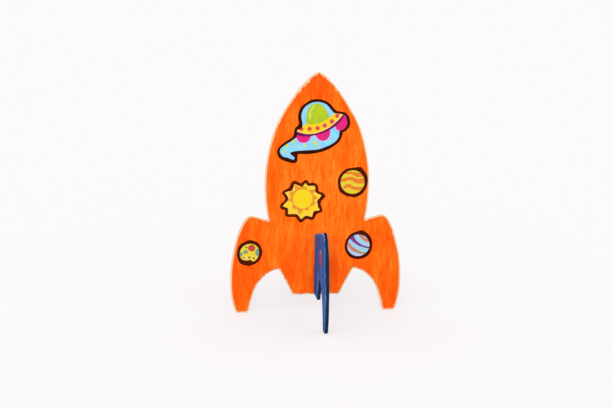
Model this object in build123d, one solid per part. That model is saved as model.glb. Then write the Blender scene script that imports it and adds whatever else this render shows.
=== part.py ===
from build123d import *
import os

# Slot-together wooden rocket: two flat boards that cross at right angles and
# stand on four feet, with printed paper stickers. Millimetres, +Z up.
# Origin: on the floor, under the line where the two boards cross.
# The body board lies in the XZ plane with its decorated face towards -Y.
# The fin board lies in the YZ plane.

# ---------------------------------------------------------------- dimensions
THICKNESS = 3.6  # plywood thickness of both boards
HEIGHT = 241.7  # floor to nose tip
NOZZLE_Z = 17.8  # flat underside of the engine nozzle
SLOT_WIDTH = 3.8  # board thickness plus 0.1 clearance on each side
SLOT_MEET_Z = 48.9  # height where the two slots meet
SLOT_GAP = 0.1  # each slot's floor stands off this height by this much
FIN_ROOT_Z = 80.1  # height of the fin board's top edge at its centre
PAPER = 0.2  # sticker thickness
HALF_T = THICKNESS / 2

# Right half of the hull: a pointed ogive, widest at mid height, as (across, up).
HULL = [
    (0.0, HEIGHT),
    (2.9, 240.9),
    (5.9, 239.0),
    (10.6, 234.8),
    (14.7, 230.7),
    (18.7, 226.0),
    (22.7, 220.6),
    (26.2, 215.5),
    (29.6, 210.3),
    (35.7, 200.3),
    (40.7, 190.4),
    (44.5, 180.3),
    (47.4, 170.2),
    (49.6, 160.1),
    (51.15, 150.1),
    (52.05, 140.0),
    (52.3, 130.0),
    (52.1, 120.0),
    (51.3, 110.0),
    (50.2, 102.2),
    (48.7, 94.6),
]
# Where a body fin's top edge starts on the hull.
FIN_NOTCH = (48.7, 94.6)
# Rounded shoulder at the outer end of a fin's top edge. The fin board's is lower.
BODY_SHOULDER = [(62.8, 98.6), (66.2, 99.0), (69.4, 97.8), (72.2, 95.1), (74.7, 90.8), (77.2, 85.2), (79.5, 78.9)]
CROSS_SHOULDER = [(60.0, 94.2), (63.8, 94.7), (67.2, 93.7), (70.4, 91.2), (73.4, 87.2), (76.4, 82.3), (79.2, 77.0)]
# Outer edge of a fin, from below the shoulder down to its foot.
FIN_OUTER = [
    (81.5, 71.2),
    (83.2, 64.3),
    (84.7, 57.2),
    (85.8, 49.1),
    (86.4, 41.0),
    (86.6, 33.0),
    (86.2, 24.0),
    (85.3, 15.5),
    (83.7, 8.3),
    (82.5, 4.4),
    (81.0, 1.5),
    (78.6, 0.0),
]
FOOT_INNER = (71.0, 0.0)
# Inner edge of a leg and the top of the arch between leg and nozzle.
FIN_INNER = [
    FOOT_INNER,
    (68.7, 1.4),
    (67.5, 4.7),
    (66.4, 9.6),
    (64.6, 16.0),
    (62.1, 23.5),
    (58.9, 29.8),
    (54.2, 35.6),
    (49.4, 39.9),
    (44.2, 42.8),
    (40.6, 44.0),
    (37.9, 43.9),
    (36.3, 42.2),
]
NOZZLE_SIDE = (24.9, 20.4)
NOZZLE_CORNER = [NOZZLE_SIDE, (24.2, 18.6), (22.6, NOZZLE_Z)]

# Stickers on the decorated face, as (across, up) of their centres and radii.
WAVY_PLANET = (35.4, 132.9, 12.3)
SPOTTED_PLANET = (-67.5, 62.0, 10.2)
STRIPED_PLANET = (42.7, 68.0, 11.9)
FIN_SPOT = (-47.0, 66.0, 8.5)  # on the fin board's left face, as (Y, Z, radius)
SUN = [
    (-22.9, 132.0),
    (-16.1, 129.0),
    (-11.8, 132.9),
    (-8.4, 129.8),
    (-2.6, 129.9),
    (-1.4, 126.5),
    (-1.8, 124.0),
    (4.6, 119.7),
    (0.5, 114.4),
    (1.5, 108.0),
    (3.2, 104.3),
    (-2.8, 103.4),
    (-3.8, 100.8),
    (-5.1, 97.2),
    (-11.0, 98.7),
    (-16.1, 95.2),
    (-19.8, 100.0),
    (-29.3, 100.7),
    (-29.8, 106.6),
    (-35.0, 109.1),
    (-30.1, 114.5),
    (-30.3, 118.5),
    (-33.1, 123.0),
    (-25.9, 125.2),
]
SAUCER = [
    (-15.9, 190.2),
    (-17.0, 196.0),
    (-17.3, 200.0),
    (-16.2, 204.3),
    (-13.8, 208.2),
    (-10.2, 211.1),
    (-6.1, 212.8),
    (-2.0, 213.5),
    (2.1, 213.3),
    (6.2, 212.0),
    (9.9, 209.4),
    (12.4, 206.4),
    (14.4, 204.2),
    (16.0, 202.6),
    (18.6, 202.1),
    (24.3, 201.3),
    (26.4, 200.9),
    (28.2, 198.2),
    (29.2, 195.1),
    (29.4, 192.0),
    (28.4, 188.8),
    (26.3, 186.1),
    (23.6, 184.5),
    (21.4, 183.5),
    (21.5, 181.0),
    (21.1, 178.3),
    (19.9, 176.1),
    (17.8, 173.6),
    (15.2, 171.5),
    (12.2, 169.7),
    (9.1, 168.5),
    (5.1, 167.0),
    (1.1, 165.7),
    (-3.0, 165.2),
    (-8.0, 164.8),
    (-14.0, 164.5),
    (-20.0, 164.1),
    (-24.0, 163.5),
    (-26.4, 162.8),
    (-26.7, 161.9),
    (-25.0, 160.3),
    (-23.5, 159.1),
    (-22.7, 157.8),
    (-22.9, 156.2),
    (-24.4, 155.5),
    (-26.6, 155.9),
    (-29.1, 157.0),
    (-31.6, 157.7),
    (-33.7, 158.1),
    (-35.3, 159.1),
    (-37.2, 161.3),
    (-38.3, 164.0),
    (-37.8, 166.6),
    (-35.9, 168.9),
    (-33.3, 170.6),
    (-30.3, 172.7),
    (-27.8, 174.2),
    (-25.3, 175.9),
    (-22.8, 177.7),
    (-21.8, 178.5),
    (-21.5, 181.0),
    (-21.6, 184.0),
    (-21.2, 185.7),
    (-18.5, 186.6),
    (-16.2, 187.6),
]


# ------------------------------------------------------------------- helpers
def mirrored(points):
    return [(-x, z) for x, z in points]


def board_face(edges):
    """A planar face on XZ, seen from -Y, from a closed chain of edges in (across, up)."""
    return Plane.XZ * make_face(Wire(edges))


def fin_edges(side, shoulder):
    """Edges of one fin, leg and half of the nozzle's corner, from the shoulder
    down and round to the nozzle's underside. side is +1 or -1."""

    def at(points):
        return points if side > 0 else mirrored(points)

    outer, inner = at(shoulder + FIN_OUTER), at(FIN_INNER)
    return [
        Spline(*outer),
        Line(outer[-1], inner[0]),
        Spline(*inner),
        Line(inner[-1], at([NOZZLE_SIDE])[0]),
        Spline(*at(NOZZLE_CORNER)),
    ]


def board_solid(face):
    """A board of full thickness, centred on its own plane."""
    return Pos(0, HALF_T, 0) * extrude(face, amount=THICKNESS)


def slot_box(z0, z1):
    """The cutter of one half-lap slot."""
    return Pos(0, 0, (z0 + z1) / 2) * Box(SLOT_WIDTH, SLOT_WIDTH * 2, z1 - z0)


def on_front(points):
    """A paper sticker flat on the body board's decorated face."""
    face = make_face(Polyline(*points, close=True))
    return Pos(0, -HALF_T, 0) * extrude(Plane.XZ * face, amount=PAPER)


def round_on_front(x, z, r):
    face = Pos(x, z) * Circle(r)
    return Pos(0, -HALF_T, 0) * extrude(Plane.XZ * face, amount=PAPER)


# -------------------------------------------------------------------- boards
nozzle_line = Line((NOZZLE_CORNER[-1][0], NOZZLE_Z), (-NOZZLE_CORNER[-1][0], NOZZLE_Z))

body_face = board_face(
    [
        Spline(*mirrored(HULL[:0:-1]), *HULL),
        Line(FIN_NOTCH, BODY_SHOULDER[0]),
        *fin_edges(+1, BODY_SHOULDER),
        nozzle_line,
        *fin_edges(-1, BODY_SHOULDER),
        Line(mirrored(BODY_SHOULDER)[0], mirrored([FIN_NOTCH])[0]),
    ]
)
body_board = board_solid(body_face)
# half-lap slot, open at the nozzle
body_panel = body_board - slot_box(NOZZLE_Z - 5, SLOT_MEET_Z + SLOT_GAP)

fin_face = board_face(
    [
        Line((0, FIN_ROOT_Z), CROSS_SHOULDER[0]),
        *fin_edges(+1, CROSS_SHOULDER),
        nozzle_line,
        *fin_edges(-1, CROSS_SHOULDER),
        Line(mirrored(CROSS_SHOULDER)[0], (0, FIN_ROOT_Z)),
    ]
)
fin_board = board_solid(fin_face)
# half-lap slot, open at the top, then turned a quarter so that the fins face -Y and +Y
fin_panel = Rot(0, 0, 90) * (fin_board - slot_box(SLOT_MEET_Z - SLOT_GAP, FIN_ROOT_Z + 10))

# ------------------------------------------------------------------ stickers
sticker_saucer = on_front(SAUCER)
sticker_sun = on_front(SUN)
sticker_wavy_planet = round_on_front(*WAVY_PLANET)
sticker_spotted_planet = round_on_front(*SPOTTED_PLANET)
sticker_striped_planet = round_on_front(*STRIPED_PLANET)
sticker_fin_spot = Pos(-HALF_T - PAPER / 2, FIN_SPOT[0], FIN_SPOT[1]) * (
    Rot(0, 90, 0) * Cylinder(FIN_SPOT[2], PAPER)
)

# -------------------------------------------------------------------- export
NODES = {
    "body_panel": body_panel,
    "fin_panel": fin_panel,
    "sticker_saucer": sticker_saucer,
    "sticker_sun": sticker_sun,
    "sticker_wavy_planet": sticker_wavy_planet,
    "sticker_spotted_planet": sticker_spotted_planet,
    "sticker_striped_planet": sticker_striped_planet,
    "sticker_fin_spot": sticker_fin_spot,
}
os.makedirs("parts", exist_ok=True)
for name, shape in NODES.items():
    solids = shape.solids()
    box = shape.bounding_box()
    print(
        name,
        len(solids),
        "solid(s)",
        round(shape.volume, 1),
        "mm3",
        [round(v, 2) for v in (box.min.X, box.min.Y, box.min.Z)],
        [round(v, 2) for v in (box.max.X, box.max.Y, box.max.Z)],
    )
    export_step(solids[0] if len(solids) == 1 else Compound(children=list(solids)), f"parts/{name}.step")
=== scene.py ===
import math

import bpy
import numpy as np
from mathutils import Matrix, Vector
from mathutils.geometry import delaunay_2d_cdt


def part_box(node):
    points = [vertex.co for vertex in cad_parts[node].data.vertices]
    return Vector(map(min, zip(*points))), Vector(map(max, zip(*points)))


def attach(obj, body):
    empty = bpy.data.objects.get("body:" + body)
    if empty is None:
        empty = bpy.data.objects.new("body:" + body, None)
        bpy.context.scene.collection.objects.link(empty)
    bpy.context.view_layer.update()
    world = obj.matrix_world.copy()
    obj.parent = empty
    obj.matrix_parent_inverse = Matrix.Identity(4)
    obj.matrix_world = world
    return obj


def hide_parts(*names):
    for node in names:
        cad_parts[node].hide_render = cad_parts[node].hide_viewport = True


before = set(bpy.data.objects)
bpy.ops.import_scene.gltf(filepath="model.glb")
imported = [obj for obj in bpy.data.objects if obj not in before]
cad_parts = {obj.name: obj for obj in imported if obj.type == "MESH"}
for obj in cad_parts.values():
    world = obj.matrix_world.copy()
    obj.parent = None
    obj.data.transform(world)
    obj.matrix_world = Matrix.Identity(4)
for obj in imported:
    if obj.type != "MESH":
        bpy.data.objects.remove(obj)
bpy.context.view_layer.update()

MM = 0.001
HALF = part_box("body_panel")[1][1] / MM  # half the plywood thickness, in mm
scene = bpy.context.scene


# ------------------------------------------------------------------ camera
def make_camera():
    """A camera low in front and a little to the left of the decorated face."""
    az, el, roll = (math.radians(v) for v in (-6.955, 10.902, 0.70))
    back = Vector((math.sin(az) * math.cos(el), -math.cos(az) * math.cos(el), math.sin(el)))
    right = (-back).cross(Vector((0, 0, 1))).normalized()
    up = right.cross(-back)
    r = right * math.cos(roll) + up * math.sin(roll)
    u = -right * math.sin(roll) + up * math.cos(roll)
    data = bpy.data.cameras.new("camera")
    data.sensor_width = 36.0
    data.lens = 69.69
    data.clip_start, data.clip_end = 0.05, 100
    cam = bpy.data.objects.new("camera", data)
    m = Matrix((r, u, back)).transposed().to_4x4()
    m.translation = Vector((-0.15156, -1.15253, 0.33437))
    cam.matrix_world = m
    scene.collection.objects.link(cam)
    scene.camera = cam


make_camera()
scene.view_settings.view_transform = "Standard"
scene.view_settings.look = "None"


# ------------------------------------------------------------- small tools
def srgb(r, g, b):
    out = []
    for v in (r, g, b):
        v /= 255.0
        out.append(v / 12.92 if v <= 0.04045 else ((v + 0.055) / 1.055) ** 2.4)
    return (*out, 1.0)


def smooth_loop(points, step=0.5, closed=True):
    """A centripetal Catmull-Rom curve through the points, sampled about every step mm."""
    p = np.array(points, float)
    n = len(p)
    out = []
    for i in range(n if closed else n - 1):
        if closed:
            p0, p1, p2, p3 = p[(i - 1) % n], p[i], p[(i + 1) % n], p[(i + 2) % n]
        else:
            p1, p2 = p[i], p[i + 1]
            p0 = p[i - 1] if i else 2 * p1 - p2
            p3 = p[i + 2] if i + 2 < n else 2 * p2 - p1
        t0 = 0.0
        t1 = t0 + max(np.linalg.norm(p1 - p0), 1e-6) ** 0.5
        t2 = t1 + max(np.linalg.norm(p2 - p1), 1e-6) ** 0.5
        t3 = t2 + max(np.linalg.norm(p3 - p2), 1e-6) ** 0.5
        k = max(1, int(round(np.linalg.norm(p2 - p1) / step)))
        for t in np.linspace(t1, t2, k, endpoint=False):
            a1 = (t1 - t) / (t1 - t0) * p0 + (t - t0) / (t1 - t0) * p1
            a2 = (t2 - t) / (t2 - t1) * p1 + (t - t1) / (t2 - t1) * p2
            a3 = (t3 - t) / (t3 - t2) * p2 + (t - t2) / (t3 - t2) * p3
            b1 = (t2 - t) / (t2 - t0) * a1 + (t - t0) / (t2 - t0) * a2
            b2 = (t3 - t) / (t3 - t1) * a2 + (t - t1) / (t3 - t1) * a3
            out.append((t2 - t) / (t2 - t1) * b1 + (t - t1) / (t2 - t1) * b2)
    if not closed:
        out.append(p[-1])
    return np.array(out)


def circle(x, z, rx, rz=None, n=64, wob=0.0, seed=0.0, turn=0.0):
    """A closed loop round (x, z), a little uneven when wob is given."""
    rz = rx if rz is None else rz
    t = np.linspace(0, 2 * np.pi, n, endpoint=False)
    k = 1 + wob * (0.5 * np.sin(2 * t + seed) + 0.3 * np.sin(3 * t + 2.1 * seed) + 0.2 * np.sin(5 * t + 3.7 * seed))
    a, b = rx * k * np.cos(t), rz * k * np.sin(t)
    c, s = math.cos(turn), math.sin(turn)
    return np.stack([x + a * c - b * s, z + a * s + b * c], 1)


def inside(points, loop):
    """Which points lie in the closed loop."""
    x, y = points[:, 0][:, None], points[:, 1][:, None]
    a, b = loop, np.roll(loop, -1, 0)
    ay, by = a[None, :, 1], b[None, :, 1]
    ax, bx = a[None, :, 0], b[None, :, 0]
    cross = (ay > y) != (by > y)
    with np.errstate(divide="ignore", invalid="ignore"):
        xi = ax + (y - ay) / (by - ay) * (bx - ax)
    return (np.sum(cross & (x < xi), axis=1) % 2) == 1


def distance(points, loop):
    """Distance from each point to the closed loop, and the index of the nearest segment."""
    a, b = loop, np.roll(loop, -1, 0)
    d = b - a
    ll = np.maximum((d**2).sum(1), 1e-12)
    best = np.full(len(points), 1e9)
    seg = np.zeros(len(points), int)
    for s in range(0, len(points), 2000):
        q = points[s : s + 2000]
        t = np.clip(((q[:, None] - a) * d).sum(2) / ll, 0, 1)
        dist = np.linalg.norm(q[:, None] - (a + t[..., None] * d), axis=2)
        seg[s : s + 2000] = dist.argmin(1)
        best[s : s + 2000] = dist.min(1)
    return best, seg


def area(loop):
    a, b = loop, np.roll(loop, -1, 0)
    return 0.5 * float(np.sum(a[:, 0] * b[:, 1] - b[:, 0] * a[:, 1]))


def ccw(loop):
    return loop if area(loop) > 0 else loop[::-1]


def triangulate(loops, points=()):
    """Constrained triangulation of the closed loops and loose points: vertices and triangles."""
    verts, edges = [], []
    for loop in loops:
        s = len(verts)
        verts += [Vector(map(float, v)) for v in loop]
        edges += [(s + i, s + (i + 1) % len(loop)) for i in range(len(loop))]
    verts += [Vector(map(float, v)) for v in points]
    v, _, f, *_ = delaunay_2d_cdt(verts, edges, [], 0, 1e-5, False)
    v = np.array([list(c) for c in v])
    f = np.array([list(t) for t in f if len(t) == 3])
    p = v[f]
    cr = (p[:, 1, 0] - p[:, 0, 0]) * (p[:, 2, 1] - p[:, 0, 1]) - (p[:, 1, 1] - p[:, 0, 1]) * (p[:, 2, 0] - p[:, 0, 0])
    f[cr < 0] = f[cr < 0][:, ::-1]
    return v, f[np.abs(cr) > 1e-9]


def make_object(name, verts, faces, mats, indices=None, attributes=None, smooth=None):
    me = bpy.data.meshes.new(name)
    me.from_pydata([tuple(map(float, v)) for v in verts], [], [tuple(map(int, f)) for f in faces])
    for m in mats:
        me.materials.append(m)
    if indices is not None:
        me.polygons.foreach_set("material_index", np.array(indices, np.int32))
    for key, values in (attributes or {}).items():
        at = me.attributes.new(key, "FLOAT", "POINT")
        at.data.foreach_set("value", np.array(values, np.float32))
    if smooth is not None:
        me.shade_smooth()
        me.set_sharp_from_angle(angle=math.radians(smooth))
    me.update()
    me.validate()
    ob = bpy.data.objects.new(name, me)
    scene.collection.objects.link(ob)
    return ob


# ---------------------------------------------------------------- materials
class Nodes:
    """Shorthand for building a procedural material."""

    def __init__(self, name):
        self.mat = bpy.data.materials.new(name)
        self.mat.use_nodes = True
        self.t = self.mat.node_tree
        self.t.nodes.clear()
        self.out = self.t.nodes.new("ShaderNodeOutputMaterial")
        self.bsdf = self.t.nodes.new("ShaderNodeBsdfPrincipled")
        self.t.links.new(self.bsdf.outputs[0], self.out.inputs[0])
        self.coord = self.t.nodes.new("ShaderNodeTexCoord").outputs["Object"]
        self.xyz = self.t.nodes.new("ShaderNodeSeparateXYZ")
        self.t.links.new(self.coord, self.xyz.inputs[0])
        self.xyz = self.xyz.outputs

    def link(self, a, b):
        self.t.links.new(a, b)

    def put(self, socket, value):
        if isinstance(value, bpy.types.NodeSocket):
            self.link(value, socket)
        else:
            socket.default_value = value

    def math(self, op, a, b=None, c=None, clamp=False):
        n = self.t.nodes.new("ShaderNodeMath")
        n.operation, n.use_clamp = op, clamp
        for i, v in enumerate((a, b, c)):
            if v is not None:
                self.put(n.inputs[i], v)
        return n.outputs[0]

    def scaled(self, x, y, z, shift=(0, 0, 0)):
        n = self.t.nodes.new("ShaderNodeMapping")
        self.link(self.coord, n.inputs["Vector"])
        n.inputs["Scale"].default_value = (x, y, z)
        n.inputs["Location"].default_value = shift
        return n.outputs[0]

    def noise(self, vector, scale=1.0, detail=3.0, rough=0.5, distort=0.0):
        n = self.t.nodes.new("ShaderNodeTexNoise")
        self.link(vector, n.inputs["Vector"])
        n.inputs["Scale"].default_value = scale
        n.inputs["Detail"].default_value = detail
        n.inputs["Roughness"].default_value = rough
        n.inputs["Distortion"].default_value = distort
        return n.outputs["Fac"]

    def ramp(self, fac, stops, mode="LINEAR"):
        n = self.t.nodes.new("ShaderNodeValToRGB")
        n.color_ramp.interpolation = mode
        e = n.color_ramp.elements
        while len(e) < len(stops):
            e.new(0.5)
        for el, (pos, colour) in zip(e, stops):
            el.position = pos
            el.color = colour
        self.link(fac, n.inputs["Fac"])
        return n.outputs["Color"]

    def step(self, value, lo, hi):
        """0 below lo, 1 above hi, smooth between."""
        n = self.t.nodes.new("ShaderNodeMapRange")
        n.interpolation_type = "SMOOTHSTEP"
        self.put(n.inputs["Value"], value)
        n.inputs["From Min"].default_value = lo
        n.inputs["From Max"].default_value = hi
        return n.outputs["Result"]

    def mix(self, fac, a, b, mode="MIX"):
        n = self.t.nodes.new("ShaderNodeMix")
        n.data_type, n.blend_type = "RGBA", mode
        self.put(n.inputs["Factor"], fac)
        self.put(n.inputs[6], a)
        self.put(n.inputs[7], b)
        return n.outputs[2]

    def attribute(self, name):
        n = self.t.nodes.new("ShaderNodeAttribute")
        n.attribute_name = name
        return n.outputs["Fac"]

    def bump(self, height, strength, dist):
        n = self.t.nodes.new("ShaderNodeBump")
        n.inputs["Strength"].default_value = strength
        n.inputs["Distance"].default_value = dist
        self.link(height, n.inputs["Height"])
        self.link(n.outputs["Normal"], self.bsdf.inputs["Normal"])


def wood_colour(n, axis):
    """Bare birch plywood: pale face grain, with the plies showing on the edge."""
    grain = n.noise(n.scaled(900, 900, 60), detail=4, rough=0.6)
    face = n.ramp(grain, [(0.3, srgb(212, 165, 120)), (0.5, srgb(224, 180, 136)), (0.72, srgb(234, 196, 154))])
    across = n.math("ABSOLUTE", n.xyz["Y" if axis == "x" else "X"])
    core = n.math("SUBTRACT", 1.0, n.step(across, 0.00052, 0.00066))
    fibres = n.noise(n.scaled(2600, 2600, 2600), detail=3, rough=0.7)
    core_colour = n.ramp(fibres, [(0.3, srgb(188, 140, 98)), (0.7, srgb(222, 178, 136))])
    return n.mix(core, face, core_colour)


def centred(n, noise, gain):
    """Noise about zero, times gain."""
    return n.math("MULTIPLY", n.math("SUBTRACT", noise, 0.5), gain)


def board_material(name, axis, deep, mid, light, edge, style):
    """Brushed acrylic paint on plywood. axis is the board's long direction in plan."""
    n = Nodes(name)
    # brush strokes are upright: long along z, and longer on the blue board
    k = 1.0 if style == "bare_edges" else 0.55
    broad = n.noise(n.scaled(135, 135, 30 * k), detail=3, rough=0.6, distort=0.2)
    fine = n.noise(n.scaled(430, 430, 66 * k, (3.1, 1.7, 0.4)), detail=4, rough=0.65, distort=0.08)
    hair = n.noise(n.scaled(1150, 1150, 150 * k, (7.1, 2.7, 5.4)), detail=3, rough=0.6)
    patch = n.noise(n.scaled(34, 34, 24, (11.0, 4.0, 2.0)), detail=3, rough=0.5)
    d = n.attribute("edge_mm")
    streak = n.math("MULTIPLY_ADD", fine, 0.33, n.math("MULTIPLY", broad, 0.30))
    streak = n.math("MULTIPLY_ADD", hair, 0.22, streak)
    streak = n.math("MULTIPLY_ADD", patch, 0.15, streak)
    wood = wood_colour(n, axis)
    if style == "bare_edges":
        # thinner, lighter paint over the middle of the hull
        u = n.math("DIVIDE", n.xyz["X"], 0.064)
        v = n.math("DIVIDE", n.math("SUBTRACT", n.xyz["Z"], 0.120), 0.092)
        r = n.math("SQRT", n.math("ADD", n.math("MULTIPLY", u, u), n.math("MULTIPLY", v, v)))
        streak = n.math("MULTIPLY_ADD", n.math("SUBTRACT", 1.0, n.step(r, 0.35, 1.3)), 0.055, streak)
        paint = n.ramp(streak, [(0.42, deep), (0.53, mid), (0.66, light)])
        near = n.math("SUBTRACT", 1.0, n.step(n.math("ADD", centred(n, broad, 8.0), d), 1.5, 5.5))
        paint = n.mix(n.math("MULTIPLY", near, 0.4), paint, edge)
        # upright brush strokes stop short of the sanded edge: ragged where the edge lies across them
        jag = n.noise(n.scaled(520, 520, 60, (1.0, 5.0, 3.0)), detail=3, rough=0.75)
        slow = n.noise(n.scaled(48, 48, 48, (4.0, 1.0, 9.0)), detail=2)
        rise = n.attribute("edge_up")
        nose = n.step(n.xyz["Z"], 0.212, 0.226)
        low = n.math("SUBTRACT", 1.0, n.step(n.xyz["Z"], 0.050, 0.058))
        ends = n.math("MAXIMUM", nose, n.math("MULTIPLY", low, 0.6))
        gain = n.math("MULTIPLY_ADD", rise, n.math("MULTIPLY_ADD", ends, 4.4, 3.0), 0.5)
        ragged = n.math("MULTIPLY", n.math("SUBTRACT", jag, 0.47), gain)
        bare = n.math("MULTIPLY_ADD", rise, -0.5, 1.72)
        limit = n.math("SUBTRACT", n.math("SUBTRACT", n.math("SUBTRACT", d, bare), ragged), centred(n, slow, 1.2))
        cover = n.step(limit, -0.2, 0.25)
        # painted shade: a darker brown band just inside the ragged end of the paint, for the tiny shadows along its
        # edge
        paint_end_shade = n.math("SUBTRACT", 1.0, n.step(limit, 0.3, 1.7))
        paint = n.mix(n.math("MULTIPLY", paint_end_shade, 0.7), paint, srgb(192, 96, 30))
        # dry brush ends at the nose, the arches and the nozzle: thin upright gaps in the paint
        gap = n.noise(n.scaled(760, 760, 90, (6.0, 2.0, 8.0)), detail=2, rough=0.6)
        reach = n.math("SUBTRACT", 1.0, n.step(n.math("SUBTRACT", d, n.math("MULTIPLY", nose, 0.6)), 1.3, 2.9))
        dry = n.math("MULTIPLY", n.math("MULTIPLY", reach, ends), n.step(rise, 0.35, 0.6))
        cover = n.math("MULTIPLY", cover, n.math("SUBTRACT", 1.0, n.math("MULTIPLY", dry, n.step(gap, 0.55, 0.62))))
    else:
        # painted light: the colour is lifted above the foot, to make up for the shade that falls on the board's upper
        # part
        streak = n.math("MULTIPLY_ADD", n.step(n.xyz["Z"], 0.012, 0.045), 0.05, n.math("SUBTRACT", streak, 0.02))
        paint = n.ramp(streak, [(0.42, deep), (0.53, mid), (0.65, light)])
        # painted all round: dark edge faces, a painted highlight in light blue flecks along the corners, chipped in a
        # few places
        side = n.math("SUBTRACT", 1.0, n.step(d, 0.25, 0.95))
        paint = n.mix(n.math("MULTIPLY", side, 0.93), paint, n.ramp(fine, [(0.35, srgb(2, 14, 20)), (0.7, edge)]))
        corner = n.math("SUBTRACT", 1.0, n.step(n.math("ABSOLUTE", n.math("SUBTRACT", d, 1.35)), 0.3, 1.1))
        corner_highlight = n.noise(n.scaled(420, 420, 170, (2.0, 8.0, 1.0)), detail=5, rough=0.65)
        stretch = n.noise(n.scaled(42, 42, 42, (9.0, 1.0, 3.0)), detail=2)
        corner_highlight = n.math("MULTIPLY", n.step(corner_highlight, 0.42, 0.62), n.step(stretch, 0.36, 0.58))
        # painted highlight: light blue flecks where the rounded corner catches the light
        paint = n.mix(n.math("MULTIPLY", n.math("MULTIPLY", corner, corner_highlight), 0.85), paint, srgb(140, 170, 216))
        chip = n.noise(n.scaled(190, 190, 150, (5.0, 3.0, 7.0)), detail=5, rough=0.6)
        tip = n.step(n.xyz["Z"], 0.0895, 0.0935)
        worn = n.step(n.math("MULTIPLY_ADD", tip, 0.30, n.math("MULTIPLY", chip, corner)), 0.62, 0.66)
        cover = n.math("SUBTRACT", 1.0, worn)
    n.put(n.bsdf.inputs["Base Color"], n.mix(cover, wood, paint))
    gloss = n.math("MULTIPLY_ADD", fine, -0.25, 0.78)
    rough = n.t.nodes.new("ShaderNodeMix")
    rough.data_type = "FLOAT"
    n.link(cover, rough.inputs[0])
    rough.inputs[2].default_value = 0.8
    n.link(gloss, rough.inputs[3])
    n.link(rough.outputs[0], n.bsdf.inputs["Roughness"])
    n.bsdf.inputs["Specular IOR Level"].default_value = 0.06 if style == "bare_edges" else 0.11
    height = n.math("MULTIPLY_ADD", hair, 0.5, n.math("MULTIPLY_ADD", fine, 0.8, n.math("MULTIPLY", cover, 0.5)))
    n.bump(height, 0.45, 0.00022)
    return n.mat


def print_material(name, a, b, scale=220.0, rough=0.5):
    """Ink on satin sticker paper, very slightly mottled."""
    n = Nodes(name)
    a, b = (tuple(v * 0.79 for v in c[:3]) + (1.0,) for c in (a, b))
    soft = n.noise(n.scaled(scale, scale, scale), detail=2, rough=0.5)
    grain = n.noise(n.scaled(2600, 2600, 2600), detail=1)
    fac = n.math("MULTIPLY_ADD", grain, 0.25, n.math("MULTIPLY", soft, 0.75))
    n.put(n.bsdf.inputs["Base Color"], n.ramp(fac, [(0.36, a), (0.64, b)]))
    n.bsdf.inputs["Roughness"].default_value = rough
    n.bsdf.inputs["Specular IOR Level"].default_value = 0.10
    n.bump(grain, 0.15, 0.00004)
    return n.mat


def ink_material(name, dark, brown):
    """Marker drawn by hand over paint and paper."""
    n = Nodes(name)
    soft = n.noise(n.scaled(300, 300, 300), detail=3)
    n.put(n.bsdf.inputs["Base Color"], n.ramp(soft, [(0.35, dark), (0.7, brown)]))
    n.put(n.bsdf.inputs["Roughness"], n.math("MULTIPLY_ADD", soft, 0.3, 0.45))
    n.bsdf.inputs["Specular IOR Level"].default_value = 0.03
    n.bump(soft, 0.2, 0.00005)
    return n.mat


# ------------------------------------------------------------------- boards
def cad_outline(node, normal_axis, level):
    """The closed outline, in mm, of a CAD board's flat face at level on an axis."""
    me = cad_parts[node].data
    co = np.array([v.co for v in me.vertices]) / MM
    keep = [1 if normal_axis == 0 else 0, 2]
    count, key_of, where = {}, {}, {}
    for v, c in enumerate(co):
        key_of[v] = (round(float(c[keep[0]]), 3), round(float(c[keep[1]]), 3))
        where[key_of[v]] = c[keep]
    for p in me.polygons:
        vs = list(p.vertices)
        if all(abs(co[v][normal_axis] - level) < 1e-3 for v in vs):
            for a, b in zip(vs, vs[1:] + vs[:1]):
                a, b = key_of[a], key_of[b]
                if a == b:
                    continue
                if (b, a) in count:
                    del count[(b, a)]
                else:
                    count[(a, b)] = 1
    nxt = {a: b for a, b in count}
    start = min(nxt)
    loop, at = [], start
    while True:
        loop.append(where[at])
        at = nxt[at]
        if at == start or len(loop) > len(nxt):
            break
    return ccw(np.array(loop))


def resample(loop, step):
    """Splits long edges and thins short ones, keeping the corners."""
    pts = [loop[0]]
    for i in range(1, len(loop)):
        a, b, c = pts[-1], loop[i], loop[(i + 1) % len(loop)]
        u, v = b - a, c - b
        turn = abs(math.atan2(u[0] * v[1] - u[1] * v[0], u @ v))
        if np.linalg.norm(u) < step * 0.6 and turn < 0.35:
            continue
        pts.append(b)
    out = []
    for i, a in enumerate(pts):
        b = pts[(i + 1) % len(pts)]
        k = max(1, int(round(np.linalg.norm(b - a) / step)))
        out += [a + (b - a) * t for t in np.linspace(0, 1, k, endpoint=False)]
    return np.array(out)


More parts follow.
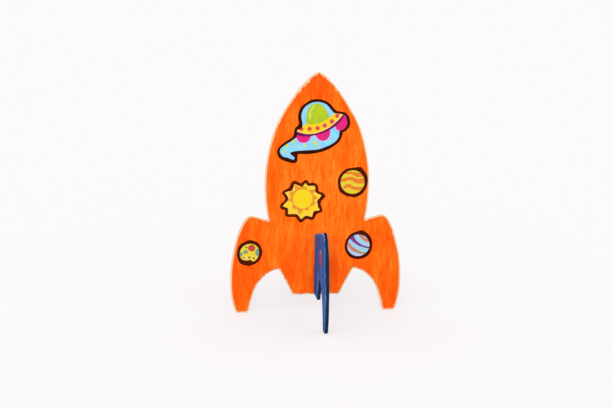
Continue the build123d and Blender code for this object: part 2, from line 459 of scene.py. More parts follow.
def board(name, node, axis, level, half, material, body):
    """A plywood board with sanded, rounded edges, built on the CAD board's own outline."""
    normal_axis = 1 if axis == "x" else 0
    loop = resample(cad_outline(node, normal_axis, level), 1.1)
    n = len(loop)
    edge = np.roll(loop, -1, 0) - loop
    edge /= np.linalg.norm(edge, axis=1)[:, None]
    nrm = np.stack([-edge[:, 1], edge[:, 0]], 1)
    vn = nrm + np.roll(nrm, 1, 0)
    vn /= np.linalg.norm(vn, axis=1)[:, None]
    # sanding varies a little along the outline, and is light inside the slot
    ang = np.arange(n) / n * 2 * np.pi
    rad = 0.95 + 0.10 * np.sin(9 * ang + 1.0) + 0.06 * np.sin(23 * ang + 2.0)
    in_slot = (np.abs(loop[:, 0]) < HALF + 0.3) & (loop[:, 1] > 10) & (loop[:, 1] < 120)
    rad = np.where(in_slot, 0.15, rad)
    rows = []
    for share in (0.12, 0.38, 0.68, 1.0):
        rows.append(loop + vn * (rad * share)[:, None])
    for dist in (1.9, 3.4):
        rows.append((loop + vn * dist)[::2])
    pts = []
    for row, low in zip(rows, (0.12, 0.38, 0.68, 1.0, 1.9 / 0.95, 3.4 / 0.95)):
        dd, seg = distance(row, loop)
        ok = inside(row, loop) & (dd > 0.93 * low * rad[seg])
        pts.append(row[ok])
    lo, hi = loop.min(0), loop.max(0)
    s = 3.6
    grid = [
        (x + (s / 2 if j % 2 else 0), z)
        for j, z in enumerate(np.arange(lo[1], hi[1], s * 0.87))
        for x in np.arange(lo[0], hi[0], s)
    ]
    grid = np.array(grid)
    grid = grid[inside(grid, loop)]
    dd, _ = distance(grid, loop)
    pts.append(grid[dd > 4.9])
    loose = np.concatenate(pts)
    # drop loose points that crowd each other at tight corners
    cell, kept = {}, []
    for q in loose:
        k = (int(q[0] // 0.25), int(q[1] // 0.25))
        near = [cell.get((k[0] + i, k[1] + j)) for i in (-1, 0, 1) for j in (-1, 0, 1)]
        if any(m is not None and np.hypot(*(m - q)) < 0.09 for m in near):
            continue
        cell[k] = q
        kept.append(q)
    v, f = triangulate([loop], np.array(kept))
    mid = v[f].mean(1)
    f = f[inside(mid, loop)]
    dd, seg = distance(v, loop)
    r = rad[seg]
    drop = np.where(dd < r, r - np.sqrt(np.maximum(0, r**2 - (r - dd) ** 2)), 0)
    on_edge = dd < 1e-4
    wrap = np.where(dd < r, r * np.arccos(np.clip((r - dd) / r, -1, 1)) / (math.pi / 2) * 1.2, dd + 0.2 * r)
    wrap = wrap + np.where(in_slot[seg] & (dd < 6), 2.2, 0)
    rise = np.abs(nrm[seg, 1])
    depth = half - drop

    def lift(p, off):
        return [(q[0], o, q[1]) if axis == "x" else (o, q[0], q[1]) for q, o in zip(p, off)]

    count = len(v)
    front = lift(v, -depth)
    back = lift(v, depth)
    # boundary of the front surface, in order
    seen = {}
    for t in f:
        for a, b in ((t[0], t[1]), (t[1], t[2]), (t[2], t[0])):
            if (b, a) in seen:
                del seen[(b, a)]
            else:
                seen[(a, b)] = 1
    verts = front + back
    faces = []
    flip = axis == "x"
    for t in f:
        a, b, c = t
        faces.append((a, b, c) if flip else (c, b, a))
        faces.append((c + count, b + count, a + count) if flip else (a + count, b + count, c + count))
    middle = {}
    wraps = list(wrap) + list(wrap)
    rises = list(rise) + list(rise)
    for a, b in seen:
        for q in (a, b):
            if q not in middle:
                middle[q] = len(verts)
                verts += lift([v[q]], [0.0])
                wraps.append(-(half - r[q]))
                rises.append(rise[q])
    for a, b in seen:
        ma, mb = middle[a], middle[b]
        one = (b, a, ma, mb)
        two = (mb, ma, a + count, b + count)
        faces.append(one if flip else one[::-1])
        faces.append(two if flip else two[::-1])
    verts = np.array(verts) * MM
    ob = make_object(name, verts, faces, [material], attributes={"edge_mm": wraps, "edge_up": rises}, smooth=50)
    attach(ob, body)
    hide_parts(node)
    return ob


orange = board_material(
    "orange_acrylic", "x", srgb(247, 70, 0), srgb(251, 97, 4), srgb(254, 130, 34), srgb(250, 74, 0), "bare_edges"
)
blue = board_material(
    "blue_acrylic", "y", srgb(2, 54, 116), srgb(4, 82, 156), srgb(62, 126, 196), srgb(6, 32, 40), "painted_edges"
)
board("body_board_painted", "body_panel", "x", -HALF, HALF, orange, "body_board")
board("fin_board_painted", "fin_panel", "y", -HALF, HALF, blue, "fin_board")


# ----------------------------------------------------------------- stickers
def film(name, outer, regions, base, body, replaces=None, holes=(), depth=(0.0, 0.2), side="front"):
    """A thin flat piece cut to the outer loop, printed with coloured regions, each a
    (loop, material) drawn over the ones before it. depth is how far its back and its face
    stand out from the board, in mm."""
    mats, index = [base], {base.name: 0}
    for _, m in regions:
        if m.name not in index:
            index[m.name] = len(mats)
            mats.append(m)
    outer = ccw(np.array(outer))
    v, f = triangulate([outer, *holes, *[loop for loop, _ in regions]])
    mid = v[f].mean(1)
    keep = inside(mid, outer)
    for h in holes:
        keep &= ~inside(mid, np.array(h))
    f, mid = f[keep], mid[keep]
    which = np.zeros(len(f), int)
    for loop, m in regions:
        which[inside(mid, np.array(loop))] = index[m.name]
    used = np.unique(f)
    remap = -np.ones(len(v), int)
    remap[used] = np.arange(len(used))
    v, f = v[used], remap[f]
    count = len(v)

    def lift(p, o):
        return [(q[0], -o, q[1]) if side == "front" else (-o, q[0], q[1]) for q in p]

    flip = side == "front"
    verts = lift(v, HALF + depth[1]) + lift(v, HALF + depth[0])
    faces, mi, seen = [], [], {}
    for t, w in zip(f, which):
        a, b, c = t
        faces.append((a, b, c) if flip else (c, b, a))
        mi.append(w)
        faces.append((c + count, b + count, a + count) if flip else (a + count, b + count, c + count))
        mi.append(0)
        for x, y in ((a, b), (b, c), (c, a)):
            if (y, x) in seen:
                del seen[(y, x)]
            else:
                seen[(x, y)] = w
    for (a, b), w in seen.items():
        q = (b, a, a + count, b + count)
        faces.append(q if flip else q[::-1])
        mi.append(w)
    ob = make_object(name, np.array(verts) * MM, faces, mats, indices=mi)
    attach(ob, body)
    if replaces:
        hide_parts(replaces)
    return ob


INK = ink_material("marker_black", srgb(34, 9, 3), srgb(60, 18, 6))
BROWN_INK = ink_material("marker_brown", srgb(66, 14, 0), srgb(98, 30, 0))
UMBER_INK = ink_material("marker_umber", srgb(54, 11, 0), srgb(82, 24, 2))
sky = print_material("print_sky_blue", srgb(128, 208, 246), srgb(158, 216, 252))
lilac = print_material("print_lilac", srgb(186, 186, 246), srgb(206, 200, 250))
green = print_material("print_green", srgb(160, 196, 44), srgb(190, 208, 30))
green_light = print_material("print_green_light", srgb(196, 220, 84), srgb(210, 226, 100))
green_rim = print_material("print_green_rim", srgb(150, 206, 120), srgb(160, 210, 140))
yellow = print_material("print_yellow", srgb(255, 202, 34), srgb(255, 214, 20))
cream = print_material("print_cream", srgb(255, 206, 110), srgb(255, 220, 140))
magenta = print_material("print_magenta", srgb(214, 38, 118), srgb(236, 30, 130))
plum = print_material("print_plum", srgb(104, 0, 78), srgb(126, 8, 92))
dot_red = print_material("print_dot_red", srgb(212, 66, 76), srgb(218, 66, 104))
dot_halo = print_material("print_dot_halo", srgb(240, 150, 40), srgb(240, 160, 50))
star_yellow = print_material("print_star_yellow", srgb(206, 214, 120), srgb(222, 214, 100))
star_halo = print_material("print_star_halo", srgb(160, 216, 200), srgb(170, 220, 196))
aqua = print_material("print_aqua", srgb(120, 226, 250), srgb(134, 230, 252))

# flying saucer ------------------------------------------------------------
SAUCER = [
    (-15.5, 190.3), (-16.5, 196.0), (-16.8, 200.0), (-15.8, 204.0), (-13.5, 207.8), (-10.0, 210.6),
    (-6.0, 212.3), (-2.0, 213.0), (2.0, 212.8), (6.0, 211.5), (9.5, 209.0), (12.0, 206.0),
    (14.0, 203.8), (15.7, 202.1), (18.5, 201.6), (24.2, 200.8), (26.2, 200.4), (27.8, 198.0),
    (28.7, 195.0), (28.9, 192.0), (28.0, 189.0), (26.0, 186.5), (23.5, 185.0), (21.4, 184.2),
    (21.0, 181.0), (20.6, 178.5), (19.5, 176.5), (17.5, 174.0), (15.0, 172.0), (12.0, 170.2),
    (9.0, 169.0), (5.0, 167.5), (1.0, 166.2), (-3.0, 165.7), (-8.0, 165.3), (-14.0, 165.0),
    (-20.0, 164.6), (-24.0, 164.0), (-26.6, 163.3), (-27.6, 162.3), (-26.8, 161.2), (-25.4, 159.9),
    (-24.0, 158.8), (-23.2, 157.7), (-23.3, 156.6), (-24.5, 156.0), (-26.5, 156.4), (-29.0, 157.5),
    (-31.5, 158.2), (-33.5, 158.6), (-35.0, 159.5), (-36.8, 161.5), (-37.8, 164.0), (-37.3, 166.3),
    (-35.5, 168.5), (-33.0, 170.2), (-30.0, 172.3), (-27.5, 173.8), (-25.0, 175.5), (-22.5, 177.3),
    (-21.4, 178.2), (-20.9, 181.0), (-21.1, 183.6), (-20.7, 185.3), (-18.2, 186.2), (-16.0, 188.0),
]
saucer_in = smooth_loop(SAUCER, 0.4)
DOME = [
    (-17.5, 186.0), (-18.5, 196.0), (-18.0, 204.0), (-14.0, 211.0), (-6.0, 214.5), (3.0, 214.5), (10.0, 211.0),
    (16.0, 204.0), (17.0, 201.0), (12.0, 198.8), (5.0, 193.0), (-5.0, 190.2), (-12.0, 189.5),
]
BLOB = [
    (-11.2, 189.0), (-11.6, 195.0), (-11.3, 200.0), (-10.5, 204.4), (-8.6, 208.0), (-5.6, 210.3), (-2.0, 211.2),
    (1.6, 210.4), (4.4, 208.3), (6.7, 205.8), (8.6, 202.8), (9.8, 199.8), (10.3, 196.5), (9.0, 193.0), (0.0, 189.0),
]
BLOB_SHINE = [
    (-9.3, 196.0), (-9.5, 200.2), (-8.7, 203.9), (-6.9, 207.0), (-4.3, 209.0), (-3.4, 208.1), (-5.4, 206.1),
    (-6.9, 203.2), (-7.6, 199.8), (-7.8, 196.2), (-8.6, 195.3),
]
CRESCENT = [
    (-21.6, 184.6), (-18.6, 187.4), (-15.4, 189.3), (-12.0, 190.4), (-9.0, 190.8), (-5.0, 190.8), (0.0, 191.5),
    (5.0, 193.3), (9.0, 196.0), (12.0, 198.6), (15.4, 201.4), (18.5, 202.6), (24.8, 201.4), (24.2, 200.4),
    (23.0, 198.8), (21.0, 196.3), (18.0, 193.2), (15.0, 190.6), (12.0, 188.4), (8.0, 186.0), (4.0, 184.1),
    (0.0, 182.7), (-4.0, 181.7), (-8.0, 181.3), (-12.0, 181.4), (-16.0, 182.2), (-19.0, 183.2),
]
CRESCENT_EDGE = [
    (-21.4, 184.2), (-18.0, 184.2), (-14.0, 182.8), (-10.0, 182.2), (-6.0, 182.3), (-2.0, 182.9), (3.0, 184.5),
    (8.0, 186.9), (13.0, 190.3), (17.0, 194.0), (21.0, 198.3), (23.6, 201.0), (24.8, 201.4), (24.2, 200.4),
    (23.0, 198.8), (21.0, 196.3), (18.0, 193.2), (15.0, 190.6), (12.0, 188.4), (8.0, 186.0), (4.0, 184.1),
    (0.0, 182.7), (-4.0, 181.7), (-8.0, 181.3), (-12.0, 181.4), (-16.0, 182.2), (-19.0, 183.2),
]
UNDER = [
    (-21.8, 183.6), (-19.0, 183.2), (-16.0, 182.2), (-12.0, 181.4), (-8.0, 181.3), (-4.0, 181.7), (0.0, 182.7),
    (4.0, 184.1), (8.0, 186.0), (12.0, 188.4), (15.0, 190.6), (18.0, 193.2), (21.0, 196.3), (23.0, 198.8),
    (24.2, 200.4), (26.4, 201.0), (25.0, 198.2), (22.8, 195.0), (20.0, 191.8), (17.0, 188.9), (13.0, 186.2),
    (9.0, 184.0), (5.0, 182.2), (0.0, 180.7), (-4.0, 179.9), (-8.0, 179.0), (-12.0, 178.7), (-16.0, 179.0),
    (-19.5, 179.9), (-21.8, 181.0),
]
LOBE_L = [
    (-22.0, 182.0), (-21.6, 178.2), (-20.5, 175.8), (-18.5, 173.8), (-16.0, 172.8), (-13.5, 172.6), (-11.0, 173.4),
    (-9.0, 175.2), (-7.6, 177.6), (-6.9, 180.0), (-8.0, 181.6), (-15.0, 182.4),
]
LOBE_M = [
    (-2.8, 181.0), (-1.2, 177.8), (1.0, 175.7), (4.0, 174.7), (7.0, 174.9), (9.5, 176.5), (11.1, 178.8),
    (11.8, 181.5), (11.8, 184.2), (11.4, 187.0), (5.0, 184.0),
]
LOBE_R = [
    (17.8, 192.0), (17.2, 189.4), (17.4, 187.4), (18.6, 185.6), (20.6, 184.7), (23.6, 184.3), (27.0, 185.6),
    (29.6, 189.0), (29.8, 195.0), (28.0, 200.4), (25.0, 201.6), (21.0, 195.6),
]
def grown(loop, d):
    """The loop pushed outwards by d mm."""
    p = ccw(np.array(loop, float))
    e = np.roll(p, -1, 0) - p
    e /= np.maximum(np.linalg.norm(e, axis=1)[:, None], 1e-9)
    nn = np.stack([e[:, 1], -e[:, 0]], 1)
    vn = nn + np.roll(nn, 1, 0)
    vn /= np.maximum(np.linalg.norm(vn, axis=1)[:, None], 1e-9)
    return p + vn * d


regions = []
for x, z, rx, rz in ((-31.5, 166.5, 3.2, 2.0), (-26.5, 164.9, 2.4, 1.6), (16.0, 180.6, 2.6, 3.0), (-5.5, 172.6, 3.6, 2.6), (9.5, 172.4, 3.0, 1.8), (-16.0, 168.6, 4.0, 1.6)):
    regions.append((circle(x, z, rx, rz, wob=0.2, seed=x), aqua))
for x, z, r in ((-24.6, 174.2, 2.3), (-31.2, 169.6, 2.6), (-20.4, 169.2, 1.9), (-13.0, 169.6, 2.2), (-2.7, 172.2, 3.0), (-33.8, 163.8, 2.5), (12.2, 174.4, 1.9), (1.6, 168.2, 1.7)):
    regions.append((circle(x, z, r, wob=0.2, seed=z), star_halo))
for x, z, r in ((-24.6, 174.2, 1.5), (-31.2, 169.6, 1.7), (-13.0, 169.6, 1.2), (-2.7, 172.2, 1.9), (-33.8, 163.8, 1.0)):
    regions.append((circle(x, z, r, wob=0.25, seed=z + 1), star_yellow))
for lobe in (LOBE_L, LOBE_M, LOBE_R):
    regions.append((smooth_loop(grown(lobe, 1.1), 0.5), lilac))
regions.append((smooth_loop(DOME, 0.6), sky))
regions.append((smooth_loop(grown(BLOB, 0.7), 0.6), green_rim))
regions.append((smooth_loop(BLOB, 0.5), green))
regions.append((smooth_loop(BLOB_SHINE, 0.4), green_light))
for lobe in (LOBE_L, LOBE_M, LOBE_R):
    regions.append((smooth_loop(lobe, 0.5), magenta))
regions.append((smooth_loop(UNDER, 0.5), plum))
regions.append((smooth_loop(CRESCENT, 0.5), yellow))
regions.append((smooth_loop(CRESCENT_EDGE, 0.5), cream))
for x, z, r in ((-16.6, 186.3, 1.75), (-8.6, 186.4, 1.95), (-0.7, 187.1, 1.95), (6.5, 189.7, 2.05), (13.4, 193.8, 2.0), (18.7, 199.3, 1.85)):
    regions.append((circle(x, z, r + 0.5, n=28), dot_halo))
for x, z, r in ((-16.6, 186.3, 1.6), (-8.6, 186.4, 1.8), (-0.7, 187.1, 1.8), (6.5, 189.7, 1.9), (13.4, 193.8, 1.9), (18.7, 199.3, 1.7)):
    regions.append((circle(x, z, r, n=28), dot_red))
film("sticker_saucer_print", smooth_loop(grown(SAUCER, 0.5), 0.4), regions, sky, "body_board", "sticker_saucer")
SAUCER_OUT = [
    (-3.0, 215.8), (-7.0, 215.0), (-11.0, 213.0), (-14.3, 210.7), (-17.2, 207.8), (-19.2, 204.0), (-20.0, 200.0),
    (-19.9, 196.0), (-19.2, 192.8), (-19.9, 189.9), (-22.4, 187.8), (-23.9, 184.2), (-24.3, 180.2), (-26.1, 177.6),
    (-30.0, 175.2), (-34.0, 172.6), (-37.1, 169.9), (-39.5, 167.0), (-40.5, 163.5), (-39.8, 160.0), (-37.6, 157.0),
    (-34.4, 155.1), (-31.0, 154.0), (-27.0, 152.8), (-23.4, 152.4), (-21.0, 153.5), (-20.2, 156.0), (-20.2, 159.0),
    (-19.7, 161.2), (-14.0, 161.3), (-8.0, 161.4), (-2.0, 162.3), (4.0, 163.6), (9.0, 165.4), (13.0, 167.4),
    (17.0, 170.0), (20.2, 172.8), (22.6, 176.0), (24.1, 180.0), (24.7, 182.8), (27.1, 184.2), (30.1, 187.0),
    (31.5, 190.0), (31.7, 193.2), (31.0, 197.0), (29.1, 200.4), (26.5, 202.5), (22.0, 203.4), (18.0, 204.3),
    (15.6, 206.4), (12.6, 210.0), (9.0, 213.0), (5.0, 214.8), (1.0, 215.6),
]
film("outline_saucer", smooth_loop(SAUCER_OUT, 0.5), [], INK, "body_board", holes=[saucer_in], depth=(-0.08, 0.28))

# sun ----------------------------------------------------------------------
sun_yellow = print_material("print_sun_yellow", srgb(252, 212, 40), srgb(246, 220, 26))
sun_disc = print_material("print_sun_disc", srgb(250, 210, 22), srgb(244, 220, 26))
sun_rim = print_material("print_sun_rim", srgb(255, 204, 60), srgb(255, 196, 48))
sun_pale = print_material("print_sun_pale", srgb(255, 214, 84), srgb(255, 208, 66))
sun_orange = print_material("print_sun_orange", srgb(228, 158, 24), srgb(242, 142, 66), 320)
SUN_IN = [
    (-24.0, 128.2), (-22.8, 131.3), (-21.2, 130.9), (-18.6, 129.8), (-16.0, 128.6), (-13.9, 130.1), (-12.0, 132.2),
    (-10.6, 130.6), (-8.4, 129.3), (-5.4, 129.6), (-2.9, 129.2), (-2.0, 126.6), (-2.3, 123.9), (0.8, 121.4),
    (3.9, 119.7), (2.6, 117.2), (0.1, 114.6), (0.4, 111.0), (1.0, 107.8), (2.6, 104.8), (0.2, 104.2), (-3.1, 103.7),
    (-4.2, 101.0), (-5.3, 97.9), (-8.0, 98.7), (-11.0, 99.2), (-13.8, 97.4), (-16.0, 95.9), (-17.6, 98.0),
    (-19.6, 100.4), (-24.2, 101.2), (-28.8, 101.2), (-29.0, 104.0), (-29.5, 107.0), (-31.8, 108.0), (-34.2, 109.2),
    (-32.2, 112.0), (-29.7, 114.6), (-29.2, 118.0), (-30.8, 120.6), (-32.3, 122.8), (-29.0, 124.0), (-25.5, 124.9),
]
SUN_OUT = [
    (-26.6, 131.8), (-24.6, 134.1), (-22.5, 134.8), (-18.6, 133.1), (-16.0, 132.2), (-13.4, 134.7), (-11.0, 135.4),
    (-9.2, 134.0), (-7.9, 132.1), (-5.0, 132.6), (-2.0, 132.0), (0.3, 129.7), (1.0, 126.0), (1.5, 123.8),
    (5.5, 122.3), (8.1, 119.1), (6.0, 115.9), (3.9, 113.4), (3.7, 110.0), (5.3, 105.5), (4.7, 102.8), (1.5, 101.7),
    (-0.6, 100.4), (-2.1, 97.4), (-4.0, 95.1), (-6.6, 95.0), (-9.5, 95.9), (-12.0, 95.3), (-14.0, 93.3),
    (-16.5, 92.5), (-18.9, 94.4), (-21.4, 97.8), (-24.0, 98.2), (-28.0, 98.1), (-31.5, 99.0), (-32.1, 102.5),
    (-32.4, 105.1), (-35.6, 106.0), (-37.2, 108.5), (-36.0, 111.8), (-33.1, 114.3), (-32.1, 117.0), (-33.6, 119.7),
    (-35.3, 122.1), (-33.6, 124.9), (-30.0, 126.7), (-27.9, 128.4),
]
CX, CZ = -14.6, 116.3
ang = np.linspace(0, 2 * np.pi, 160, endpoint=False)
wave = 12.1 + 1.3 * np.sin(10 * ang + 0.6) + 0.7 * np.sin(3 * ang + 1.2)
regions = [
    (smooth_loop([(x + (CX - x) * 0.12, z + (CZ - z) * 0.12) for x, z in SUN_IN], 0.5), sun_yellow),
    (np.stack([CX + wave * np.cos(ang), CZ + wave * np.sin(ang)], 1), sun_orange),
]
# pointed orange shadows between the rays
for deg, reach in ((118, 16.2), (92, 15.0), (38, 15.4), (4, 14.8), (-20, 14.2), (-66, 13.4), (-101, 15.8), (-131, 13.2), (183, 15.2), (156, 14.8)):
    t = math.radians(deg)
    u, w = np.array([math.cos(t), math.sin(t)]), np.array([-math.sin(t), math.cos(t)])
    c = np.array([CX, CZ])
    tri = [c + u * 10 + w * 3.2, c + u * reach + w * 0.5, c + u * reach - w * 0.5, c + u * 10 - w * 3.2]
    regions.append((np.array(tri), sun_orange))
regions.append((circle(CX, CZ, 9.9), sun_rim))
regions.append((circle(CX, CZ, 9.1, wob=0.01), sun_disc))
film("sticker_sun_print", smooth_loop(grown(SUN_IN, 0.4), 0.5), regions, sun_pale, "body_board", "sticker_sun")
film("outline_sun", smooth_loop(SUN_OUT, 0.5), [], BROWN_INK, "body_board", holes=[smooth_loop(SUN_IN, 0.4)], depth=(-0.08, 0.28))

# planet with wavy bands ---------------------------------------------------
wavy_base = print_material("print_wavy_green", srgb(222, 206, 44), srgb(238, 206, 52), 260)
wavy_band = print_material("print_wavy_orange", srgb(226, 128, 24), srgb(238, 132, 52), 260)
PX, PZ, PR = 35.4, 132.9, 12.0
BANDS = [
    ([(27.0, 143.4), (30.0, 143.2), (33.0, 143.6), (36.0, 143.0), (40.0, 142.5), (43.0, 141.8), (46.0, 140.4)],
     [(26.0, 141.0), (30.0, 140.8), (34.0, 140.9), (37.0, 139.4), (39.5, 138.0), (42.0, 137.8), (47.5, 138.7)]),
    ([(22.0, 135.6), (25.0, 136.6), (27.0, 137.2), (30.0, 137.8), (33.0, 138.4), (36.0, 138.0), (38.5, 136.8), (41.0, 136.0), (44.0, 136.6), (49.0, 137.4)],
     [(22.0, 133.8), (26.0, 133.2), (28.0, 133.7), (31.0, 134.8), (34.0, 134.5), (36.0, 133.3), (38.0, 132.0), (41.0, 131.3), (44.0, 131.3), (49.0, 132.5)]),
    ([(25.6, 126.2), (26.8, 128.5), (28.5, 130.4), (30.0, 131.2), (32.0, 130.9), (34.0, 129.9), (36.0, 128.8), (38.0, 128.3), (41.0, 127.8), (43.5, 128.0), (48.0, 128.6)],
     [(26.2, 125.9), (27.5, 126.2), (29.0, 127.3), (31.0, 127.2), (33.0, 126.8), (35.0, 125.6), (38.0, 124.9), (41.0, 124.5), (43.0, 124.3), (47.0, 125.5)]),
]
regions = []
for top, bottom in BANDS:
    loop = np.concatenate([smooth_loop(top, 0.5, closed=False), smooth_loop(bottom, 0.5, closed=False)[::-1]])
    regions.append((loop, wavy_band))
film("sticker_wavy_print", circle(PX, PZ, PR + 0.3, n=90), regions, wavy_base, "body_board", "sticker_wavy_planet")
WAVY_OUT = [
    (50.8, 134.0), (50.3, 137.5), (49.2, 140.6), (47.6, 143.4), (45.6, 145.9), (43.9, 147.8), (41.0, 148.1), (37.0, 147.5),
    (33.5, 147.1), (30.5, 146.7), (27.5, 145.3), (25.0, 143.2), (22.6, 140.4), (21.0, 137.0), (20.4, 133.4), (20.7, 129.8),
    (21.4, 126.4), (22.9, 123.2), (25.5, 121.0), (28.2, 119.3), (31.3, 118.2), (34.6, 117.9), (36.6, 117.2), (39.4, 117.8),
    (42.6, 119.2), (45.8, 121.6), (48.2, 125.0), (50.0, 129.4),
]
film("outline_wavy", smooth_loop(WAVY_OUT, 0.5), [], UMBER_INK, "body_board", holes=[circle(PX - 0.05, PZ, PR, wob=0.015, seed=2.0, n=90)], depth=(-0.12, 0.28))

# planet with spots --------------------------------------------------------
spot_base = print_material("print_spot_yellow", srgb(244, 206, 42), srgb(238, 216, 34), 260)
spot_red = print_material("print_spot_red", srgb(208, 72, 66), srgb(206, 68, 84))
spot_brown = print_material("print_spot_brown", srgb(178, 108, 16), srgb(166, 96, 8))
spot_teal = print_material("print_spot_teal", srgb(124, 160, 110), srgb(120, 170, 150))
spot_olive = print_material("print_spot_olive", srgb(196, 164, 34), srgb(190, 156, 30))
spot_pale = print_material("print_spot_pale", srgb(224, 218, 90), srgb(250, 214, 90), 300)
QX, QZ, QR = -67.6, 62.4, 9.7
regions = [
    (circle(QX - 2.0, QZ - 5.4, 5.6, 2.6, wob=0.2, seed=1.0), spot_pale),
    (circle(QX + 5.2, QZ - 6.0, 3.4, 2.6, wob=0.2, seed=2.0), spot_pale),
    (circle(-72.0, 68.6, 3.6, 1.6, turn=0.6), spot_pale),
    (circle(-65.3, 66.9, 3.5, wob=0.06, seed=2.2), spot_brown),
    (circle(-65.2, 67.0, 2.9, wob=0.05, seed=3.1), spot_red),
    (circle(-71.3, 63.0, 2.4, 2.1, wob=0.05, seed=1.1), spot_teal),
    (circle(-59.0, 62.4, 2.9, 3.6, wob=0.05, seed=4.1), spot_teal),
    (circle(-76.4, 60.6, 2.2, 2.4, wob=0.05, seed=5.1), spot_teal),
    (circle(-70.5, 67.7, 1.1, n=24), spot_brown),
    (circle(-73.4, 57.1, 1.15, n=24), spot_olive),
    (circle(-67.6, 57.3, 1.2, n=24), spot_brown),
    (circle(-63.2, 56.5, 1.2, n=24), spot_brown),
]
film("sticker_spotted_print", circle(QX, QZ, QR + 0.3, n=80), regions, spot_base, "body_board", "sticker_spotted_planet")
SPOT_OUT = [
    (-54.7, 61.8), (-55.1, 65.3), (-56.4, 68.6), (-58.2, 71.3), (-60.6, 73.2), (-63.4, 74.2), (-66.6, 75.0), (-69.8, 74.4),
    (-72.6, 73.0), (-75.4, 71.6), (-77.7, 69.4), (-79.1, 66.3), (-79.9, 62.8), (-79.8, 59.2), (-79.0, 55.8), (-77.9, 52.9),
    (-76.0, 50.9), (-73.6, 49.8), (-71.0, 49.2), (-67.8, 48.5), (-65.0, 49.5), (-61.6, 50.7), (-58.6, 53.0), (-56.2, 56.4),
]
SPOT_HOLE = [
    (-57.9, 62.0), (-58.3, 65.6), (-60.2, 68.7), (-63.4, 70.8), (-67.2, 71.3), (-70.8, 70.4), (-74.2, 68.2), (-76.4, 65.2),
    (-77.2, 61.8), (-76.8, 58.4), (-75.4, 55.9), (-72.4, 54.5), (-68.6, 54.4), (-66.0, 54.9), (-65.0, 53.6), (-63.2, 53.0),
    (-60.6, 54.8), (-58.6, 58.2),
]
film("outline_spotted", smooth_loop(SPOT_OUT, 0.5), [], UMBER_INK, "body_board", holes=[smooth_loop(SPOT_HOLE, 0.4)], depth=(-0.08, 0.28))

# planet with slanting bands -----------------------------------------------
band_base = print_material("print_band_blue", srgb(164, 214, 244), srgb(184, 208, 246), 260)
band_pale = print_material("print_band_pale", srgb(206, 214, 246), srgb(214, 208, 240), 260)
band_purple = print_material("print_band_purple", srgb(150, 58, 144), srgb(124, 62, 134), 200)
band_slate = print_material("print_band_slate", srgb(100, 84, 134), srgb(92, 78, 132), 200)
band_salmon = print_material("print_band_salmon", srgb(214, 128, 108), srgb(218, 136, 82), 240)
band_mint = print_material("print_band_mint", srgb(168, 226, 224), srgb(160, 216, 228), 240)
band_tan = print_material("print_band_tan", srgb(178, 148, 104), srgb(188, 152, 128), 240)
SX, SZ, SR = 42.7, 68.0, 11.6


def band(top, bottom):
    return np.concatenate([smooth_loop(top, 0.5, closed=False), smooth_loop(bottom, 0.5, closed=False)[::-1]])


regions = [
    (circle(43.5, 74.2, 4.0, 1.4, turn=-0.9), band_mint),
    (circle(47.0, 62.6, 4.6, 1.5, turn=-0.1), band_mint),
    (circle(37.5, 67.9, 2.6, 1.2, turn=-0.6), band_mint),
    (circle(33.6, 63.8, 1.4, 3.0, turn=0.5), band_pale),
    (circle(44.0, 58.0, 5.4, 1.1), band_pale),
    (circle(53.0, 69.0, 1.1, 3.4), band_pale),
    (band([(45.6, 80.6), (47.2, 77.6), (49.2, 75.9), (51.4, 74.8), (54.0, 73.8)], [(41.6, 80.6), (43.0, 77.9), (44.6, 76.0), (46.2, 74.3), (48.2, 72.8), (50.2, 71.8), (54.6, 70.6)]), band_salmon),
    (band([(37.6, 79.4), (38.2, 76.6), (39.6, 74.1), (41.6, 71.8), (44.0, 70.0), (46.5, 68.5), (49.0, 67.5), (52.0, 66.7), (55.0, 66.0)], [(32.6, 75.8), (35.4, 73.4), (37.0, 71.8), (39.0, 70.2), (41.5, 68.5), (44.0, 67.2), (46.5, 66.4), (50.0, 65.4), (55.0, 64.6)]), band_purple),
    (band([(46.5, 68.5), (49.0, 67.5), (52.0, 66.7), (55.0, 66.0)], [(46.0, 66.5), (48.0, 65.9), (50.0, 65.4), (55.0, 64.6)]), band_slate),
    (band([(30.6, 73.6), (32.4, 71.4), (34.0, 69.8), (35.2, 68.2), (36.6, 66.8), (38.5, 65.4), (40.5, 64.2), (43.0, 62.9), (45.0, 61.7), (47.5, 61.0), (50.0, 60.7), (54.0, 60.8)], [(30.4, 69.6), (32.6, 67.0), (34.0, 65.0), (35.6, 63.2), (37.6, 61.9), (40.0, 61.0), (42.0, 60.1), (44.0, 59.3), (46.5, 59.0), (49.0, 59.0), (53.0, 59.4)]), band_salmon),
    (band([(41.6, 63.6), (43.0, 62.9), (45.0, 61.7), (47.5, 61.0), (50.0, 60.7), (54.0, 60.8)], [(42.4, 60.0), (44.0, 59.3), (46.5, 59.0), (49.0, 59.0), (53.0, 59.4)]), band_tan),
]
film("sticker_striped_print", circle(SX, SZ, SR + 0.3, n=90), regions, band_base, "body_board", "sticker_striped_planet")
STRIPE_OUT = [
    (56.8, 68.0), (56.5, 71.6), (55.4, 75.2), (53.4, 78.4), (50.8, 80.9), (48.6, 82.6), (45.6, 83.6), (42.6, 83.0), (39.4, 81.9),
    (36.0, 80.6), (33.2, 78.5), (31.0, 75.6), (29.4, 72.2), (28.7, 68.6), (28.9, 65.0), (30.0, 61.6), (31.8, 58.6), (34.4, 56.2),
    (37.6, 54.7), (41.0, 54.0), (44.6, 54.1), (48.2, 54.9), (51.4, 56.6), (54.0, 59.2), (56.0, 63.2),
]
film("outline_striped", smooth_loop(STRIPE_OUT, 0.5), [], UMBER_INK, "body_board", holes=[circle(SX - 0.25, SZ + 0.2, SR - 0.35, wob=0.015, seed=1.0, n=90)], depth=(-0.08, 0.28))

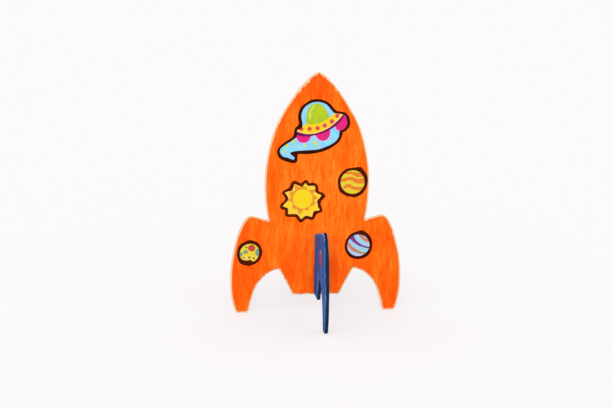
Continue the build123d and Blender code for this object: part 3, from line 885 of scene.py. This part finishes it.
# small round sticker on the fin board's left face --------------------------
fin_red = print_material("print_fin_red", srgb(166, 88, 106), srgb(154, 80, 114), 240)
fin_lilac = print_material("print_fin_lilac", srgb(158, 138, 182), srgb(146, 128, 176), 240)
regions = [
    (band([(-56.0, 71.0), (-50.0, 71.6), (-44.0, 70.6), (-38.0, 67.6)], [(-56.0, 66.0), (-50.0, 62.0), (-44.0, 60.0), (-38.0, 60.0)]), fin_red),
    (circle(-48.5, 61.5, 7.0, 4.8, wob=0.05, seed=1.0), fin_red),
]
film("sticker_fin_spot_print", circle(-47.0, 66.0, 8.5, n=80), regions, fin_lilac, "fin_board", "sticker_fin_spot", side="left")


# ------------------------------------------------------------- floor, light
def stage_floor():
    me = bpy.data.meshes.new("floor")
    me.from_pydata([(-30, -30, 0), (30, -30, 0), (30, 60, 0), (-30, 60, 0)], [], [(0, 1, 2, 3)])
    n = Nodes("pale_floor")
    n.bsdf.inputs["Base Color"].default_value = (0.31, 0.31, 0.31, 1)
    n.bsdf.inputs["Emission Color"].default_value = (1.0, 0.977, 0.985, 1)
    n.bsdf.inputs["Emission Strength"].default_value = 0.61
    n.bsdf.inputs["Roughness"].default_value = 0.9
    n.bsdf.inputs["Specular IOR Level"].default_value = 0.0
    me.materials.append(n.mat)
    ob = bpy.data.objects.new("floor", me)
    scene.collection.objects.link(ob)


stage_floor()


def soft_sun(name, towards, strength, spread):
    """A wide, even light from far away, shining along the given direction."""
    data = bpy.data.lights.new(name, "SUN")
    data.energy, data.angle = strength, math.radians(spread)
    ob = bpy.data.objects.new(name, data)
    ob.rotation_euler = Vector(towards).to_track_quat("-Z", "Y").to_euler()
    scene.collection.objects.link(ob)


world = bpy.data.worlds.new("world")
scene.world = world
world.use_nodes = True
bg = world.node_tree.nodes["Background"]
bg.inputs["Color"].default_value = (1.0, 0.977, 0.985, 1)
bg.inputs["Strength"].default_value = 0.965
soft_sun("key", (0.55, 0.75, -1.0), 0.30, 40)
soft_sun("front", (0.145, 0.916, -0.375), 1.10, 25)
